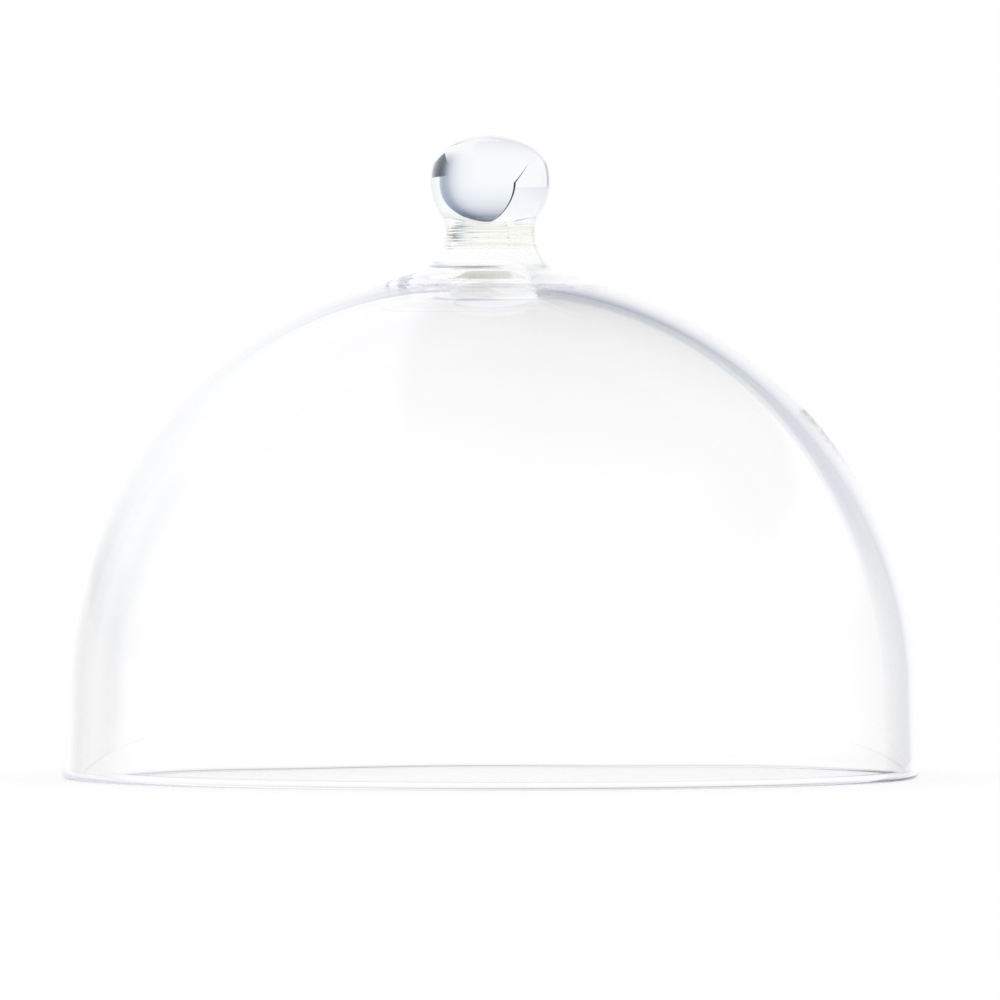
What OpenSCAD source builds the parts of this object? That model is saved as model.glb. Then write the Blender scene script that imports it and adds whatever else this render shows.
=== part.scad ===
// Bell jar dome: a clear glass bowl with a short flared skirt, closed at the top,
// with a solid glass ball on a waisted post that is hot-sealed to the crown.
// Origin: centre of the rim's resting plane. +Z is up, and every piece is round about Z.

/* [Dome] */
// Outer diameter of the bowl at its widest line, above the skirt
dome_d = 298; // [280:1:320]
// Height of the skirt, from the rim to the widest line
skirt_h = 29; // [20:1:60]
// How far the skirt flares outwards at the rim, on each side
skirt_flare = 1.1; // [0.6:0.1:2.5]
// Wall thickness of the bowl and skirt
wall_t = 4.5; // [4:0.1:6]
// Thickness of the bowl at the crown, where the glass is heaviest
crown_t = 6; // [5:0.1:8]
// Corner radius of the fire-polished rim
rim_round = 1.6; // [0.6:0.1:1.8]

/* [Neck post] */
// Diameter of the post at its waist
neck_d = 31.6; // [30:0.2:34]
// How much the post's radius grows between its waist and the ball
neck_swell = 0.9; // [0.3:0.1:1.2]
// Height of the waist above the crown
waist_lift = 13; // [11:0.5:13.5]
// Diameter of the thin pad where the post's glass spreads over the crown
pad_d = 82; // [76:1:90]
// Thickness of the pad at its edge
pad_edge_t = 0.3; // [0.2:0.1:0.6]
// Radius of the pad's domed upper face
pad_curve_r = 120; // [110:1:130]

/* [Knob ball] */
// Diameter of the ball at its widest line
ball_d = 42.5; // [40:0.5:45]
// Height of the ball's widest line above the crown
ball_lift = 31; // [30:0.5:34]
// Height of the flattened upper half of the ball
ball_cap_h = 16; // [16:0.5:17.5]
// Radius of the ball's shoulder, between its side and its flatter top
ball_shoulder_r = 14.5; // [13:0.5:15]

/* [Hidden] */
$fn = 180;

glass_tint = [0.86, 0.93, 0.95, 0.4];
ball_tint = [0.70, 0.82, 0.90, 0.6];

// Bowl: the inner sphere sits lower than the outer one, which thickens the crown.
dome_r = dome_d / 2;
crown_z = skirt_h + dome_r;
cavity_r = dome_r - wall_t;
cavity_mid_z = skirt_h - (crown_t - wall_t);

// Rim: each round edge ends a hair outside the wall, so that the two meet in one clean edge.
rim_proud = 0.01;
rim_out_r = skirt_radius(dome_r, skirt_h, rim_round) + rim_proud;
rim_in_r = skirt_radius(cavity_r, cavity_mid_z, rim_round) - rim_proud;

// Pad: its domed face ends just above the bowl, on a circle of diameter pad_d.
pad_r = pad_d / 2;
pad_foot_z = skirt_h + sqrt(pow(dome_r, 2) - pow(pad_r, 2));
pad_mid_z = pad_foot_z + pad_edge_t - sqrt(pow(pad_curve_r, 2) - pow(pad_r, 2));

// Post: a concave flare meets the pad smoothly, and is upright at the waist.
neck_r = neck_d / 2;
waist_z = crown_z + waist_lift;
pad_to_waist = waist_z - pad_mid_z;
flare_r = (pow(neck_r, 2) + pow(pad_to_waist, 2) - pow(pad_curve_r, 2)) / (2 * (pad_curve_r - neck_r));

// Ball: the lower half is a true sphere that sits in the post's dished end.
ball_r = ball_d / 2;
ball_mid_z = crown_z + ball_lift;
shoulder_x = ball_r - ball_shoulder_r;
cap_r = (pow(shoulder_x, 2) + pow(ball_cap_h, 2) - pow(ball_shoulder_r, 2))
    / (2 * (ball_cap_h - ball_shoulder_r));
cap_mid_z = ball_mid_z + ball_cap_h - cap_r;
shoulder_end_x = shoulder_x * cap_r / (cap_r - ball_shoulder_r);

// Post end: the radius and height of the crease where the post meets the ball.
crease_r = neck_r + neck_swell;
crease_z = ball_mid_z - sqrt(pow(ball_r, 2) - pow(crease_r, 2));

// Radius of the arc that rises h while it moves s sideways from upright.
function sweep_radius(h, s) = (pow(h, 2) + pow(s, 2)) / (2 * s);

// Radius of a skirt at height z, for a bowl of this radius and widest line.
function skirt_radius(radius, mid_z, z) =
    radius + sweep_radius(mid_z, skirt_flare)
    - sqrt(pow(sweep_radius(mid_z, skirt_flare), 2) - pow(mid_z - z, 2));

// Half outline of a solid bowl: a quarter disc standing on a flared skirt.
module bowl_outline(radius, mid_z) {
    skirt_curve_r = sweep_radius(mid_z, skirt_flare);
    intersection() {
        translate([0, mid_z]) circle(radius);
        translate([0, mid_z]) square(radius);
    }
    difference() {
        square([radius + 2 * skirt_flare, mid_z]);
        translate([radius + skirt_curve_r, mid_z]) circle(skirt_curve_r, $fn = 720);
    }
}

// The sharp corner of the wall that a round edge centred at x takes away.
// side is 1 on the outer face of the wall and -1 on the inner face.
module rim_corner(x, side) {
    translate([x, rim_round]) difference() {
        translate([side < 0 ? -2 * rim_round : 0, -2 * rim_round]) square(2 * rim_round);
        circle(rim_round);
    }
}

// The bowl: one blown wall with an open rim and a closed crown.
module dome_shell() {
    color(glass_tint) rotate_extrude() difference() {
        bowl_outline(dome_r, skirt_h);
        bowl_outline(cavity_r, cavity_mid_z);
        rim_corner(rim_out_r - rim_round, 1);
        rim_corner(rim_in_r + rim_round, -1);
    }
}

// Half outline of the pad and the flare, before the crown is cut from below.
module flare_outline() {
    intersection() {
        translate([0, pad_mid_z]) circle(pad_curve_r);
        translate([0, pad_foot_z - pad_edge_t]) square([pad_r, pad_curve_r]);
    }
    flare_x = neck_r + flare_r;
    flare_foot_x = flare_x * pad_curve_r / (pad_curve_r + flare_r);
    difference() {
        translate([0, pad_foot_z]) square([flare_foot_x, waist_z - pad_foot_z]);
        translate([flare_x, waist_z]) circle(flare_r);
    }
}

// Half outline of the post above its waist, where it swells and runs up inside the ball.
module swell_outline() {
    swell_r = sweep_radius(crease_z - waist_z, neck_swell);
    difference() {
        translate([0, waist_z]) square([ball_r, crease_z - waist_z + neck_swell]);
        translate([neck_r + swell_r, waist_z]) circle(swell_r, $fn = 360);
    }
}

// The post: seated on the crown below, and dished above to take the ball.
module neck_post() {
    color(glass_tint) rotate_extrude() difference() {
        union() {
            flare_outline();
            swell_outline();
        }
        translate([0, skirt_h]) circle(dome_r);
        translate([0, ball_mid_z]) circle(ball_r);
    }
}

// The ball: a sphere below its widest line, and shouldered and flatter above it.
module knob_ball() {
    color(ball_tint) rotate_extrude() {
        intersection() {
            translate([0, ball_mid_z]) circle(ball_r);
            translate([0, ball_mid_z - ball_r]) square(ball_r);
        }
        intersection() {
            translate([shoulder_x, ball_mid_z]) circle(ball_shoulder_r);
            translate([0, ball_mid_z]) square(ball_r);
        }
        intersection() {
            translate([0, cap_mid_z]) circle(cap_r);
            translate([0, ball_mid_z]) square([shoulder_end_x, ball_cap_h]);
        }
    }
}

dome_shell();
neck_post();
knob_ball();
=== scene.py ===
"""Looks for the bell jar dome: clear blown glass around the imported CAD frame.

Each piece is turned from an outline that starts and ends on the axis. Where two pieces are sealed hot,
both faces of the joint let light straight through, so that the glass looks like one body. What clear
glass shows is its surroundings, so the second half of the file builds the studio that the ball refracts
and the bowl mirrors. The studio is light by direction, in the world's shader.
"""
import math

import bpy
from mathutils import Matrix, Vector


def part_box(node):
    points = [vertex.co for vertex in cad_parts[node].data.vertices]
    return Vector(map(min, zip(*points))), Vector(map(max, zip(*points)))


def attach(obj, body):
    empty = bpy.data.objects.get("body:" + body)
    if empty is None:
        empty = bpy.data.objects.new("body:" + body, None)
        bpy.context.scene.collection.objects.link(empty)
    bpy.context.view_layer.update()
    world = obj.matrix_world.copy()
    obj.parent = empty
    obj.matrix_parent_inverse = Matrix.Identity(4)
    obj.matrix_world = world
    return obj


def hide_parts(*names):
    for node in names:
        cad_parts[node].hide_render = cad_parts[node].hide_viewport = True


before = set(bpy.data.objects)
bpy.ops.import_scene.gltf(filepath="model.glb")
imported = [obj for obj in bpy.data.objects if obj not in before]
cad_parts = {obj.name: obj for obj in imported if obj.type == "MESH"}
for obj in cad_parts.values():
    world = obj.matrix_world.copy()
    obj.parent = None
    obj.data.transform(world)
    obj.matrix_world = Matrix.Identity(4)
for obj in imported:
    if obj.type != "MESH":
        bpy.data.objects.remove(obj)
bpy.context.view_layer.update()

MM = 0.001

# Sizes that the frame gives.
_, SHELL_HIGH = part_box("dome_shell")
_, POST_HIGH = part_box("neck_post")
BALL_LOW, BALL_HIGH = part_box("knob_ball")
CROWN_Z = SHELL_HIGH.z
TOP_Z = BALL_HIGH.z
BALL_R = BALL_HIGH.x
BALL_MID_Z = BALL_LOW.z + BALL_R
PAD_R = POST_HIGH.x
CREASE_Z = POST_HIGH.z

# Sizes of the glass that the frame's boxes don't show.
DOME_R = 149.0 * MM
WALL_T = 4.5 * MM
CROWN_T = 6.0 * MM
SKIRT_FLARE = 1.1 * MM
RIM_ROUND = 2.1 * MM
NECK_R = 15.8 * MM
WAIST_LIFT = 13.0 * MM
PAD_CURVE_R = 120.0 * MM
PAD_RISE = 0.3 * MM
BALL_CAP_H = 16.0 * MM
CAVITY_SHIFT = 0.7 * MM

# The two faces of a glass joint stay this far apart, so that a ray always leaves one piece before it
# enters the other.
WELD_GAP = 0.005 * MM

SKIRT_H = CROWN_Z - DOME_R
CAVITY_R = DOME_R - WALL_T
CAVITY_MID_Z = SKIRT_H - (CROWN_T - WALL_T)
CREASE_R = math.sqrt(BALL_R ** 2 - (BALL_MID_Z - CREASE_Z) ** 2)

# The meshes.
SEGMENTS = 360
SAME_POINT = 1e-7

# The order of the materials on each piece.
GLASS, WELD = 0, 1

GLASS_IOR = 1.5

# The tint that each pass through a face keeps, and the tint that a long way through the bowl takes on.
SHELL_TINT = (0.998, 0.998, 1.0)
POST_TINT = (0.985, 0.985, 0.985)
BALL_TINT = (0.92, 0.935, 0.955)
SHELL_DEPTH_TINT = (0.94, 0.93, 0.955)
TINT_DENSITY = 10.0

# The depth of the faint streaks in the glass.
SHELL_CORDS = 0.05 * MM
KNOB_CORDS = 0.02 * MM

# The studio. The paper is a little brighter than the picture's white.
WHITE = (1.03, 1.03, 1.03)
PICTURE_WHITE = (1.0, 1.0, 1.0)
FLOOR_R = 0.42
FLOOR_SIDES = 96
FLOOR_Z = -0.1 * MM
FLOOR_TONE = (0.26, 0.26, 0.26, 1.0)
FLOOR_GLOW = (0.80, 0.80, 0.80, 1.0)

# Heights in degrees at which the paper behind the glass ends, and at which the cable bends.
SWEEP_TOP = 36.5
CABLE_KINK = 3.0

# The camera, at the photo's angle.
CAMERA_PLACE = (0.0035, -3.392, 0.0973)
CAMERA_LENS = 348.8
CAMERA_SENSOR = 36
CAMERA_REACH = 50

# Light can cross the thick glass of the rim and the post many times before it leaves.
GLASS_BOUNCES = 160
TRANSPARENT_BOUNCES = 64


def arc(x, z, radius, start, end, count):
    """Points (r, z) on a circle, from one angle in degrees to another."""
    angles = [math.radians(start + (end - start) * i / count) for i in range(count + 1)]
    return [(x + radius * math.cos(a), z + radius * math.sin(a)) for a in angles]


def skirt(radius, mid_z, low_z, count):
    """Points up the flared skirt of a bowl, from low_z to its widest line."""
    curve_r = (mid_z ** 2 + SKIRT_FLARE ** 2) / (2 * SKIRT_FLARE)
    heights = [low_z + (mid_z - low_z) * i / count for i in range(count + 1)]
    return [(radius + curve_r - math.sqrt(curve_r ** 2 - (mid_z - z) ** 2), z) for z in heights]


def join(*runs):
    """One outline from several runs of points, with the points that two runs share kept once."""
    line = []
    for run in runs:
        for point in run:
            if not line or math.dist(point, line[-1]) > SAME_POINT:
                line.append(point)
    return line


def crown_weld(gap=0.0):
    """The part of the bowl's outer face that lies under the post's pad, from the axis outwards, lifted
    by a gap."""
    edge = math.degrees(math.acos(PAD_R / DOME_R))
    return arc(0, SKIRT_H + gap, DOME_R, 90, edge, 36)


def ball_weld(gap=0.0):
    """The part of the ball that sits in the post, from the axis outwards, lowered by a gap."""
    edge = math.degrees(math.acos(CREASE_R / BALL_R))
    return arc(0, BALL_MID_Z - gap, BALL_R, -90, -edge, 24)


def shell_outlines():
    """The bowl: (outline, material) runs, from the axis on the crown to the axis in the cavity."""
    edge = math.degrees(math.acos(PAD_R / DOME_R))
    outer = skirt(DOME_R, SKIRT_H, RIM_ROUND, 20)
    inner = skirt(CAVITY_R, CAVITY_MID_Z, RIM_ROUND, 20)
    out_r, in_r = outer[0][0], inner[0][0]
    wall = join(
        arc(0, SKIRT_H, DOME_R, edge, 0, 80),
        outer[::-1],
        arc(out_r - RIM_ROUND, RIM_ROUND, RIM_ROUND, 0, -90, 10),
        arc(in_r + RIM_ROUND, RIM_ROUND, RIM_ROUND, -90, -180, 10),
        inner,
        arc(0, CAVITY_MID_Z, CAVITY_R, 0, 90, 100),
    )
    return [(crown_weld(), WELD), (wall, GLASS)]


def post_outlines():
    """The post: the weld on the crown, its flared side, and the dish that holds the ball."""
    waist_z = CROWN_Z + WAIST_LIFT
    pad_foot_z = SKIRT_H + math.sqrt(DOME_R ** 2 - PAD_R ** 2)
    pad_mid_z = pad_foot_z + PAD_RISE - math.sqrt(PAD_CURVE_R ** 2 - PAD_R ** 2)
    rise = waist_z - pad_mid_z
    flare_r = (NECK_R ** 2 + rise ** 2 - PAD_CURVE_R ** 2) / (2 * (PAD_CURVE_R - NECK_R))
    foot_angle = math.degrees(math.atan2(rise, NECK_R + flare_r))
    foot_r = PAD_CURVE_R * math.cos(math.radians(foot_angle))

    def pad_z(r):
        """The pad's upper face. It melts into the bowl where its edge is."""
        domed = pad_mid_z + math.sqrt(PAD_CURVE_R ** 2 - r ** 2)
        bowl = SKIRT_H + WELD_GAP + math.sqrt(DOME_R ** 2 - r ** 2)
        t = (r - foot_r) / (PAD_R - foot_r)
        keep = 1 - t * t * (3 - 2 * t)
        return bowl + (domed - bowl) * keep

    pad = [(PAD_R + (foot_r - PAD_R) * i / 30, 0) for i in range(31)]
    pad = [(r, pad_z(r)) for r, _ in pad]
    flare = arc(NECK_R + flare_r, waist_z, flare_r, 180 + foot_angle, 180, 120)
    swell_h = CREASE_Z - waist_z
    swell = CREASE_R - NECK_R
    swell_r = (swell_h ** 2 + swell ** 2) / (2 * swell)
    swell_angle = math.degrees(math.asin(swell_h / swell_r))
    upper = arc(NECK_R + swell_r, waist_z, swell_r, 180, 180 - swell_angle, 40)
    side = join(pad, flare, upper)
    return [(crown_weld(WELD_GAP), WELD), (side, GLASS), (ball_weld(WELD_GAP)[::-1], WELD)]


def smooth(value, start, end):
    """Goes from 0 to 1 as value goes from start to end, without corners."""
    share = min(1.0, max(0.0, (value - start) / (end - start)))
    return share * share * (3 - 2 * share)


def knob_cap(count):
    """Points from the ball's widest ring up to its top. The curve tightens over the shoulder and
    opens over the cap, and its curvature never jumps."""
    steps = 4 * count
    turn = math.pi / 2 / steps
    slopes = [(i + 0.5) * turn for i in range(steps)]
    tighten = [smooth(math.degrees(a), 0, 20) for a in slopes]
    open_up = [smooth(math.degrees(a), 38, 75) for a in slopes]

    def reach(radii):
        """How far inwards and upwards a curve with these radii goes."""
        inwards = sum(r * math.sin(a) for r, a in zip(radii, slopes)) * turn
        upwards = sum(r * math.cos(a) for r, a in zip(radii, slopes)) * turn
        return inwards, upwards

    # The two changes of radius that end the curve on the axis, at the cap's height.
    round_in, round_up = reach([BALL_R] * steps)
    tight_in, tight_up = reach(tighten)
    open_in, open_up_h = reach(open_up)
    missing_in, missing_up = BALL_R - round_in, BALL_CAP_H - round_up
    scale = tight_in * open_up_h - open_in * tight_up
    tight = (missing_in * open_up_h - open_in * missing_up) / scale
    wide = (tight_in * missing_up - missing_in * tight_up) / scale

    r, z = BALL_R, BALL_MID_Z
    points = [(r, z)]
    for i, slope in enumerate(slopes):
        radius = BALL_R + tight * tighten[i] + wide * open_up[i]
        r -= radius * math.sin(slope) * turn
        z += radius * math.cos(slope) * turn
        if i % 4 == 3:
            points.append((r, z))
    points[-1] = (0.0, TOP_Z)
    return points


def ball_outlines():
    """The ball: its seat in the post, a round lower half, then shoulder and flatter cap."""
    low = math.degrees(math.acos(CREASE_R / BALL_R))
    side = join(arc(0, BALL_MID_Z, BALL_R, -low, 0, 60), knob_cap(70))
    return [(ball_weld(), WELD), (side, GLASS)]


def uneven_bowl(r, z, turn):
    """The blown bowl's wall is a little thicker on one side, and its inner face is slightly wavy."""
    height = max(0.0, z - SKIRT_H)
    depth = (DOME_R - math.hypot(r, height)) / WALL_T
    inner = smooth(depth, 0.15, 0.95)
    low = smooth(z, 40 * MM, 0.0)
    wave = 0.05 * math.sin(3 * turn + 1.1 + z / (60 * MM)) + 0.035 * math.sin(5 * turn + 2.0 - z / (35 * MM))
    wave += 0.03 * math.sin(8 * turn + z / (22 * MM)) * low
    r_inner = r + wave * MM * inner * smooth(r, 0.0, 40 * MM)
    return r_inner * math.cos(turn) + CAVITY_SHIFT * inner, r_inner * math.sin(turn), z


def tooled_neck(r, z, turn):
    """Fine uneven rings that the jacks leave on the neck while the hot glass turns."""
    lift = z - CROWN_Z
    rings = smooth(lift, 6.6 * MM, 8.2 * MM) * smooth(CREASE_Z - z, 1.2 * MM, 3.0 * MM)
    rings *= smooth(r, NECK_R - 0.6 * MM, NECK_R - 0.2 * MM)
    lean = 0.7 * math.sin(turn + 0.6) + 0.4 * math.sin(3 * turn + 2.2)
    mark = 0.060 * math.sin(2 * math.pi * lift / (0.97 * MM) + lean)
    mark += 0.045 * math.sin(2 * math.pi * lift / (1.43 * MM) + 1.3 - 1.4 * lean)
    mark += 0.050 * math.sin(2 * math.pi * lift / (2.6 * MM) + 0.4 + 0.6 * lean)
    marked = r + mark * MM * rings
    return marked * math.cos(turn), marked * math.sin(turn), z


def plain_turn(r, z, turn):
    """The outline's point, turned about the axis."""
    return r * math.cos(turn), r * math.sin(turn), z


def revolve(name, outlines, place, materials):
    """A closed mesh turned from (outline, material) runs that start and end on the axis. place(r, z, turn)
    says where the outline's point (r, z) comes to lie at that turn."""
    points, slots = [], []
    for outline, slot in outlines:
        for point in outline:
            if points and math.dist(point, points[-1]) < SAME_POINT:
                continue
            points.append(point)
            slots.append(slot)
    turns = [2 * math.pi * i / SEGMENTS for i in range(SEGMENTS)]
    vertices, faces, face_slots = [], [], []
    rings = []
    for r, z in points:
        first = len(vertices)
        if r < SAME_POINT:
            vertices.append(place(0.0, z, 0.0))
            rings.append([first] * SEGMENTS)
        else:
            vertices += [place(r, z, a) for a in turns]
            rings.append(list(range(first, first + SEGMENTS)))
    for ring, upper, slot in zip(rings, rings[1:], slots[1:]):
        for i in range(SEGMENTS):
            j = (i + 1) % SEGMENTS
            corners = [ring[i], ring[j], upper[j], upper[i]]
            face = list(dict.fromkeys(corners))
            faces.append(face)
            face_slots.append(slot)
    mesh = bpy.data.meshes.new(name)
    mesh.from_pydata(vertices, [], faces)
    mesh.polygons.foreach_set("material_index", face_slots)
    mesh.polygons.foreach_set("use_smooth", [True] * len(faces))
    for material in materials:
        mesh.materials.append(material)
    piece = bpy.data.objects.new(name, mesh)
    bpy.context.scene.collection.objects.link(piece)
    return piece


def signed_volume(mesh):
    """The volume inside a closed mesh. It is negative where the faces look inwards."""
    mesh.calc_loop_triangles()
    total = 0.0
    for tri in mesh.loop_triangles:
        a, b, c = (mesh.vertices[i].co for i in tri.vertices)
        total += a.dot(b.cross(c))
    return total / 6


class Graph:
    """A node tree, with short calls for the nodes that this script uses."""

    def __init__(self, tree):
        self.nodes = tree.nodes
        self.links = tree.links
        self.nodes.clear()

    def feed(self, socket, value):
        """Sets a socket to a plain value, or links another node's output to it."""
        if isinstance(value, bpy.types.NodeSocket):
            self.links.new(value, socket)
        else:
            socket.default_value = value

    def math(self, operation, first, second=0.0, clamp=False):
        """One arithmetic step on plain values or other nodes' outputs."""
        node = self.nodes.new("ShaderNodeMath")
        node.operation = operation
        node.use_clamp = clamp
        self.feed(node.inputs[0], first)
        self.feed(node.inputs[1], second)
        return node.outputs[0]

    def rise(self, value, start, end, low=0.0, high=1.0, smooth=True):
        """Goes from low to high as value goes from start to end."""
        node = self.nodes.new("ShaderNodeMapRange")
        node.interpolation_type = "SMOOTHSTEP" if smooth else "LINEAR"
        node.clamp = True
        self.feed(node.inputs["Value"], value)
        for name, number in zip(("From Min", "From Max", "To Min", "To Max"), (start, end, low, high)):
            node.inputs[name].default_value = number
        return node.outputs[0]

    def window(self, value, start, end, soft_start, soft_end):
        """One between start and end, and zero outside, with soft edges of these widths."""
        up = self.rise(value, start - soft_start / 2, start + soft_start / 2)
        down = self.rise(value, end - soft_end / 2, end + soft_end / 2, 1.0, 0.0)
        return self.math("MULTIPLY", up, down)

    def bend(self, value, *points):
        """A line through (value, result) points, flat beyond its ends."""
        total = points[0][1]
        for (x0, y0), (x1, y1) in zip(points, points[1:]):
            total = self.math("ADD", total, self.rise(value, x0, x1, 0.0, y1 - y0, smooth=False))
        return total

    def ramp(self, value, *stops):
        """A colour ramp from (position, colour) stops."""
        node = self.nodes.new("ShaderNodeValToRGB")
        while len(node.color_ramp.elements) < len(stops):
            node.color_ramp.elements.new(1.0)
        for element, (position, colour) in zip(node.color_ramp.elements, stops):
            element.position = position
            element.color = (*colour, 1.0)
        self.feed(node.inputs["Fac"], value)
        return node.outputs["Color"]

    def noise(self, place, scale, detail):
        """Soft random values around 0.5, stretched by a scale for each axis."""
        stretch = self.nodes.new("ShaderNodeMapping")
        stretch.inputs["Scale"].default_value = scale
        self.links.new(place, stretch.inputs["Vector"])
        node = self.nodes.new("ShaderNodeTexNoise")
        node.inputs["Scale"].default_value = 1.0
        node.inputs["Detail"].default_value = detail
        self.links.new(stretch.outputs[0], node.inputs["Vector"])
        return node.outputs["Fac"]

    def mix(self, share, under, over, kind="MIX"):
        """The colour under, with a share of the colour over laid on it."""
        node = self.nodes.new("ShaderNodeMix")
        node.data_type = "RGBA"
        node.blend_type = kind
        node.clamp_factor = True
        self.feed(node.inputs["Factor"], share)
        for socket, value in ((node.inputs["A"], under), (node.inputs["B"], over)):
            self.feed(socket, value if isinstance(value, bpy.types.NodeSocket) else (*value, 1.0))
        return node.outputs["Result"]


def glass_material(name, tint, cords, warm_low=0.0, warm_high=0.0, depth_tint=None):
    """Clear glass. tint is what one pass through it keeps, and cords is the depth in metres of the faint
    streaks that drawn glass has. Between the heights warm_low and warm_high it has a straw-coloured cast.
    depth_tint is the colour that a long way through the glass takes on."""
    material = bpy.data.materials.new(name)
    material.use_nodes = True
    g = Graph(material.node_tree)
    place = g.nodes.new("ShaderNodeTexCoord").outputs["Object"]
    split = g.nodes.new("ShaderNodeSeparateXYZ")
    g.links.new(place, split.inputs[0])
    height = split.outputs["Z"]

    streaks = g.noise(place, (9.0, 9.0, 60.0), 4.0)
    colour = g.mix(g.rise(streaks, 0.35, 0.75, 0.0, 0.35), tint, [share * 0.985 for share in tint])
    if warm_high > warm_low:
        fade = (warm_high - warm_low) / 4
        rings = g.noise(place, (18.0, 18.0, 1100.0), 2.0)
        warm = g.ramp(
            g.rise(rings, 0.30, 0.70),
            (0.0, (0.80, 0.81, 0.70)),
            (0.45, (0.96, 0.96, 0.89)),
            (1.0, (1.0, 1.0, 0.97)),
        )
        colour = g.mix(g.window(height, warm_low, warm_high, fade, fade), colour, warm)

    bump = g.nodes.new("ShaderNodeBump")
    bump.inputs["Strength"].default_value = 1.0
    bump.inputs["Distance"].default_value = cords
    waves = g.noise(place, (14.0, 14.0, 5.0), 1.0)
    g.links.new(waves, bump.inputs["Height"])

    shader = g.nodes.new("ShaderNodeBsdfPrincipled")
    g.links.new(colour, shader.inputs["Base Color"])
    g.links.new(bump.outputs["Normal"], shader.inputs["Normal"])
    shader.inputs["IOR"].default_value = GLASS_IOR
    shader.inputs["Roughness"].default_value = 0.0
    shader.inputs["Transmission Weight"].default_value = 1.0
    out = g.nodes.new("ShaderNodeOutputMaterial")
    g.links.new(shader.outputs[0], out.inputs["Surface"])
    if depth_tint:
        absorb = g.nodes.new("ShaderNodeVolumeAbsorption")
        absorb.inputs["Color"].default_value = (*depth_tint, 1.0)
        absorb.inputs["Density"].default_value = TINT_DENSITY
        g.links.new(absorb.outputs[0], out.inputs["Volume"])
    return material


def weld_material():
    """The face of a hot seal, which light passes as if it weren't there."""
    material = bpy.data.materials.new("weld")
    material.use_nodes = True
    nodes, links = material.node_tree.nodes, material.node_tree.links
    nodes.clear()
    out = nodes.new("ShaderNodeOutputMaterial")
    shader = nodes.new("ShaderNodeBsdfTransparent")
    links.new(shader.outputs[0], out.inputs["Surface"])
    return material


shell_glass = glass_material("shell_glass", SHELL_TINT, SHELL_CORDS, depth_tint=SHELL_DEPTH_TINT)
post_glass = glass_material(
    "post_glass", POST_TINT, KNOB_CORDS, warm_low=CROWN_Z + 6 * MM, warm_high=CREASE_Z - 2 * MM
)
ball_glass = glass_material("ball_glass", BALL_TINT, KNOB_CORDS)
weld = weld_material()

bowl = revolve("bowl_glass", shell_outlines(), uneven_bowl, [shell_glass, weld])
post = revolve("post_glass", post_outlines(), tooled_neck, [post_glass, weld])
ball = revolve("ball_glass", ball_outlines(), plain_turn, [ball_glass, weld])
for piece in (bowl, post, ball):
    if signed_volume(piece.data) < 0:
        piece.data.flip_normals()
for piece, node, slot in (
    (bowl, "dome_shell", "shell_glass"),
    (post, "neck_post", "knob_glass"),
    (ball, "knob_ball", "knob_glass"),
):
    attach(piece, "root")
    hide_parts(node)


def pale_floor():
    """A pale floor under the rim. Light that the thick glass has turned many times passes through it, to
    the studio below."""
    turns = [2 * math.pi * i / FLOOR_SIDES for i in range(FLOOR_SIDES)]
    mesh = bpy.data.meshes.new("floor")
    ring = [(FLOOR_R * math.cos(a), FLOOR_R * math.sin(a), FLOOR_Z) for a in turns]
    mesh.from_pydata(ring, [], [list(range(FLOOR_SIDES))])
    floor = bpy.data.objects.new("floor", mesh)
    bpy.context.scene.collection.objects.link(floor)

    material = bpy.data.materials.new("pale_floor")
    material.use_nodes = True
    g = Graph(material.node_tree)
    ray = g.nodes.new("ShaderNodeLightPath")
    matt = g.nodes.new("ShaderNodeBsdfDiffuse")
    matt.inputs["Color"].default_value = FLOOR_TONE
    glow = g.nodes.new("ShaderNodeEmission")
    glow.inputs["Color"].default_value = FLOOR_GLOW
    both = g.nodes.new("ShaderNodeAddShader")
    g.links.new(matt.outputs[0], both.inputs[0])
    g.links.new(glow.outputs[0], both.inputs[1])
    clear = g.nodes.new("ShaderNodeBsdfTransparent")
    pick = g.nodes.new("ShaderNodeMixShader")
    g.links.new(g.rise(ray.outputs["Ray Depth"], 4.5, 5.5), pick.inputs["Fac"])
    g.links.new(both.outputs[0], pick.inputs[1])
    g.links.new(clear.outputs[0], pick.inputs[2])
    out = g.nodes.new("ShaderNodeOutputMaterial")
    g.links.new(pick.outputs[0], out.inputs["Surface"])
    mesh.materials.append(material)


pale_floor()


def photo_camera():
    """A long lens, level with the bowl's middle."""
    data = bpy.data.cameras.new("camera")
    data.sensor_width = CAMERA_SENSOR
    data.lens = CAMERA_LENS
    data.clip_end = CAMERA_REACH
    camera = bpy.data.objects.new("camera", data)
    camera.location = CAMERA_PLACE
    camera.rotation_euler = (math.pi / 2, 0, 0)
    bpy.context.scene.collection.objects.link(camera)
    bpy.context.scene.camera = camera


photo_camera()


def direction(g):
    """The azimuth and height, in degrees, that a ray leaves in. Azimuth 0 is straight behind the glass
    and 90 is to the right. For the ceiling it also gives how far across and how far behind a ray goes
    for each metre that it rises."""
    place = g.nodes.new("ShaderNodeTexCoord")
    split = g.nodes.new("ShaderNodeSeparateXYZ")
    g.links.new(place.outputs["Generated"], split.inputs[0])
    x, y, z = split.outputs
    azimuth = g.math("MULTIPLY", g.math("ARCTAN2", x, y), math.degrees(1))
    height = g.math("MULTIPLY", g.math("ARCSINE", z), math.degrees(1))
    across = g.math("DIVIDE", x, g.math("MAXIMUM", z, 0.01))
    along = g.math("DIVIDE", y, g.math("MAXIMUM", z, 0.01))
    return azimuth, height, across, along


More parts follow.
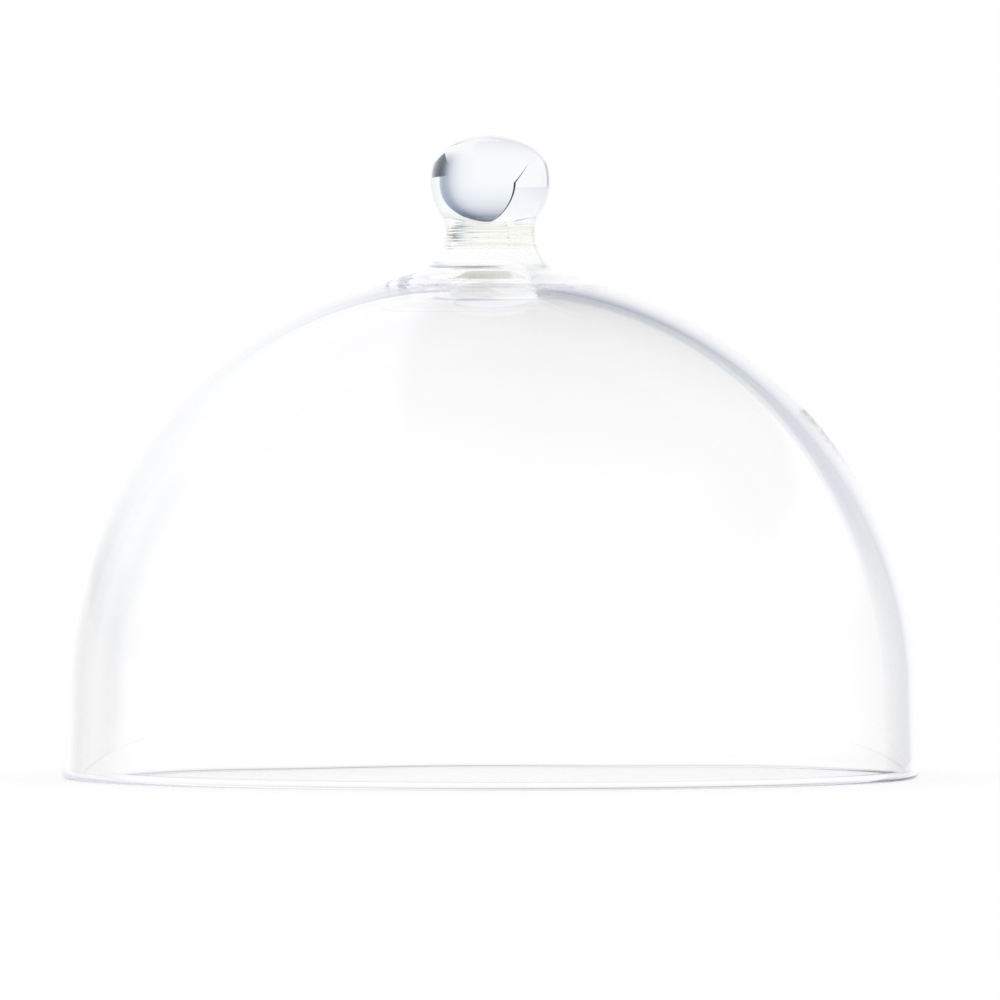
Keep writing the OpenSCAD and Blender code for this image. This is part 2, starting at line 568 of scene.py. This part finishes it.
def paper_sweep(g, look, azimuth, height, mirrored, far):
    """White paper behind the glass. It curls forwards at its right edge and at its top, into shade. The
    shade is lighter where the bowl mirrors it, and where it is seen through both of the bowl's walls."""
    up = g.math("MAXIMUM", height, 0.0)
    curl_in = g.math("POWER", g.math("DIVIDE", up, SWEEP_TOP), 3.5)
    right_edge = g.math("MULTIPLY", g.math("SUBTRACT", 1.0, curl_in), 45.0)
    inset = g.math("DIVIDE", g.math("SUBTRACT", right_edge, azimuth), 60.0)
    curl = g.ramp(
        inset,
        (0.0, (0.54, 0.64, 0.78)),
        (0.1, (0.36, 0.42, 0.52)),
        (0.2, (0.47, 0.51, 0.59)),
        (0.3, (0.76, 0.78, 0.82)),
        (0.42, (0.95, 0.96, 0.98)),
        (0.6, WHITE),
    )
    curl = g.mix(g.rise(height, -12, -30), curl, WHITE)
    fall = g.ramp(
        g.rise(height, 0, 35, smooth=False),
        (0.0, (1.0, 1.0, 1.0)),
        (0.15, (0.98, 0.98, 0.99)),
        (0.4, (0.87, 0.88, 0.91)),
        (0.56, (0.74, 0.76, 0.82)),
        (0.68, (0.55, 0.58, 0.65)),
        (0.8, (0.26, 0.30, 0.37)),
        (1.0, (0.13, 0.16, 0.22)),
    )
    lift = g.math("MAXIMUM", g.math("MULTIPLY", mirrored, 0.6), g.math("MULTIPLY", far, 0.5))
    fall = g.mix(lift, fall, (1.0, 1.0, 1.0))
    sweep = g.mix(1.0, curl, fall, "MULTIPLY")
    above_kink = g.math("MAXIMUM", g.math("SUBTRACT", height, CABLE_KINK), 0.0)
    below_kink = g.math("MAXIMUM", g.math("SUBTRACT", CABLE_KINK, height), 0.0)
    lean = g.math("MULTIPLY", g.math("MULTIPLY", above_kink, above_kink), 0.0155)
    lean = g.math("SUBTRACT", lean, g.math("MULTIPLY", below_kink, 0.9))
    past_left = g.math("SUBTRACT", g.math("ADD", azimuth, 16.5), lean)
    on_left = g.math("MULTIPLY", g.rise(past_left, -0.3, 0.3), g.rise(inset, -0.01, 0.01))
    in_sweep = g.math("MULTIPLY", on_left, g.rise(height, SWEEP_TOP + 1.5, SWEEP_TOP + 4.5, 1.0, 0.0))
    return g.mix(in_sweep, look, sweep), past_left


def left_sheet(g, look, azimuth, height, past_left):
    """A second white sheet to the left, with its lower edge just above the table."""
    sheet = g.ramp(
        g.rise(height, 6, 30, smooth=False),
        (0.0, (0.86, 0.89, 0.92)),
        (0.35, (0.93, 0.95, 0.98)),
        (1.0, (1.03, 1.03, 1.04)),
    )
    sheet_low = g.math("MULTIPLY", g.rise(height, 5.5, 6.5), g.rise(azimuth, -40, -20, 1.0, 0.6))
    sheet_low = g.math("MULTIPLY", sheet_low, g.rise(height, 42, 48, 1.0, 0.0))
    in_sheet = g.math("MULTIPLY", sheet_low, g.window(past_left, -52, 0, 16, 0.6))
    return g.mix(in_sheet, look, sheet)


def dark_cable(g, look, height, past_left, near):
    """A dark cable hangs in the gap between the sheet and the sweep, and thins towards both ends. Only the
    ball shows it."""
    half = g.bend(height, (-14, 0.0), (-8, 0.2), (0, 0.45), (4, 0.8), (12, 0.62), (20, 0.5), (28, 0.4))
    share = g.math("DIVIDE", g.math("ABSOLUTE", past_left), g.math("MAXIMUM", half, 0.001))
    on_cable = g.math("MULTIPLY", g.rise(share, 0.8, 1.2, 1.0, 0.0), g.window(height, -12, 28, 2, 2))
    return g.mix(g.math("MULTIPLY", on_cable, near), look, (0.004, 0.006, 0.012))


def grey_board(g, look, azimuth, height, near):
    """A grey board lies on the table at the right. Only the ball shows it."""
    board = g.ramp(
        g.rise(azimuth, 28, 66, smooth=False),
        (0.0, (0.50, 0.54, 0.60)),
        (0.25, (0.12, 0.16, 0.22)),
        (0.42, (0.0, 0.01, 0.04)),
        (0.7, (0.08, 0.12, 0.17)),
        (1.0, (0.40, 0.45, 0.50)),
    )
    low_edge = g.bend(azimuth, (34, -13), (47, -28), (62, -18))
    above = g.math("SUBTRACT", height, low_edge)
    on_board = g.math("MULTIPLY", g.rise(above, -0.6, 1.2), g.rise(height, -2.3, -1.9, 1.0, 0.0))
    on_board = g.math("MULTIPLY", on_board, g.window(azimuth, 34, 67, 9, 5))
    on_board = g.math("MULTIPLY", on_board, near)
    return g.mix(on_board, look, board)


def left_flag(g, look, azimuth, height, near):
    """A narrow dark flag stands far to the left. Only the ball shows it."""
    on_flag = g.math("MULTIPLY", g.window(azimuth, -70, -62, 5, 5), g.window(height, -18, 6, 6, 6))
    on_flag = g.math("MULTIPLY", on_flag, near)
    return g.mix(on_flag, look, (0.46, 0.49, 0.51))


def ceiling(g, look, azimuth, height, across, along, mirrored):
    """The ceiling is in half shade above the sweep, with a darker strip between two soft boxes. The strip
    is darkest where the bowl's polished face mirrors it."""
    beside = g.math("ABSOLUTE", azimuth)
    direct = g.math("SUBTRACT", 1.0, mirrored)
    shade = g.math("MULTIPLY", g.rise(height, 30, 46), g.rise(beside, 60, 110, 0.8, 0.0))
    look = g.mix(g.math("MULTIPLY", shade, direct), look, (0.80, 0.81, 0.84))
    skewed = g.math("SUBTRACT", across, g.math("MULTIPLY", along, 0.15))
    strength = g.bend(across, (-0.3, 0.5), (0.15, 1.0), (0.9, 0.4))
    strip = g.math("MULTIPLY", g.rise(skewed, -0.36, -0.27), strength)
    strip = g.math("MULTIPLY", strip, g.rise(along, -0.9, 0.3))
    strip = g.math("MULTIPLY", strip, g.rise(height, 26, 32))
    tone = g.mix(mirrored, (0.78, 0.78, 0.68), (0.20, 0.20, 0.20))
    return g.mix(strip, look, tone)


def corner_shade(g, look, azimuth, height, near):
    """Shade in the two corners between the sweep and the ceiling, for light that comes through the knob."""
    beside = g.math("ABSOLUTE", azimuth)
    corner = g.math("MULTIPLY", g.window(beside, 30, 64, 6, 12), g.window(height, 36, 60, 4, 8))
    corner = g.math("MULTIPLY", corner, near)
    return g.mix(corner, look, (0.34, 0.41, 0.48))


def room(g, look, azimuth, height, mirrored):
    """The dim room past the ends of the paper. It shows only where the bowl's polished face mirrors it."""
    beside = g.window(g.math("ABSOLUTE", azimuth), 26, 66, 12, 36)
    seen = g.math("MULTIPLY", g.math("MULTIPLY", beside, g.window(height, -18, 12, 12, 10)), mirrored)
    return g.mix(seen, look, (0.66, 0.65, 0.63))


def front_panels(g, look, azimuth, height, straight):
    """Two pairs of grey panels stand at the front of the studio, beside the camera. They draw the glass's
    edges in views from the other sides. Mirrored light doesn't show them: straight is 1 for all other
    light."""
    beside = g.math("ABSOLUTE", azimuth)
    panels = g.math("ADD", g.window(beside, 100, 122, 6, 6), g.window(beside, 142, 164, 6, 6))
    panels = g.math("MULTIPLY", panels, g.window(height, -30, 50, 10, 10))
    return g.mix(g.math("MULTIPLY", panels, straight), look, (0.34, 0.37, 0.41))


def studio_world():
    """The studio around the glass, as light by direction. The camera itself sees white.

    far is 1 for light that has passed both walls of the bowl, mirrored is 1 for light that the bowl's near
    wall has turned back, and near is 1 for light that has only crossed the knob."""
    world = bpy.data.worlds.new("studio")
    world.use_nodes = True
    g = Graph(world.node_tree)
    ray = g.nodes.new("ShaderNodeLightPath")
    far = g.rise(ray.outputs["Ray Depth"], 3.4, 4.4)
    turned_back = g.rise(ray.outputs["Glossy Depth"], 0.2, 0.8)
    mirrored = g.math("MULTIPLY", turned_back, g.math("SUBTRACT", 1.0, far))
    near = g.math("SUBTRACT", g.math("SUBTRACT", 1.0, far), mirrored, clamp=True)
    azimuth, height, across, along = direction(g)
    look = ceiling(g, WHITE, azimuth, height, across, along, mirrored)
    look, past_left = paper_sweep(g, look, azimuth, height, mirrored, far)
    look = left_sheet(g, look, azimuth, height, past_left)
    look = corner_shade(g, look, azimuth, height, near)
    look = dark_cable(g, look, height, past_left, near)
    look = grey_board(g, look, azimuth, height, near)
    look = left_flag(g, look, azimuth, height, near)
    look = room(g, look, azimuth, height, mirrored)
    look = front_panels(g, look, azimuth, height, g.math("SUBTRACT", 1.0, turned_back))
    look = g.mix(ray.outputs["Is Camera Ray"], look, PICTURE_WHITE)
    background = g.nodes.new("ShaderNodeBackground")
    g.links.new(look, background.inputs["Color"])
    out = g.nodes.new("ShaderNodeOutputWorld")
    g.links.new(background.outputs[0], out.inputs["Surface"])
    bpy.context.scene.world = world


studio_world()
bpy.context.scene.view_settings.view_transform = "Standard"
cycles = bpy.context.scene.cycles
cycles.max_bounces = GLASS_BOUNCES
cycles.transmission_bounces = GLASS_BOUNCES
cycles.glossy_bounces = GLASS_BOUNCES
cycles.transparent_max_bounces = TRANSPARENT_BOUNCES
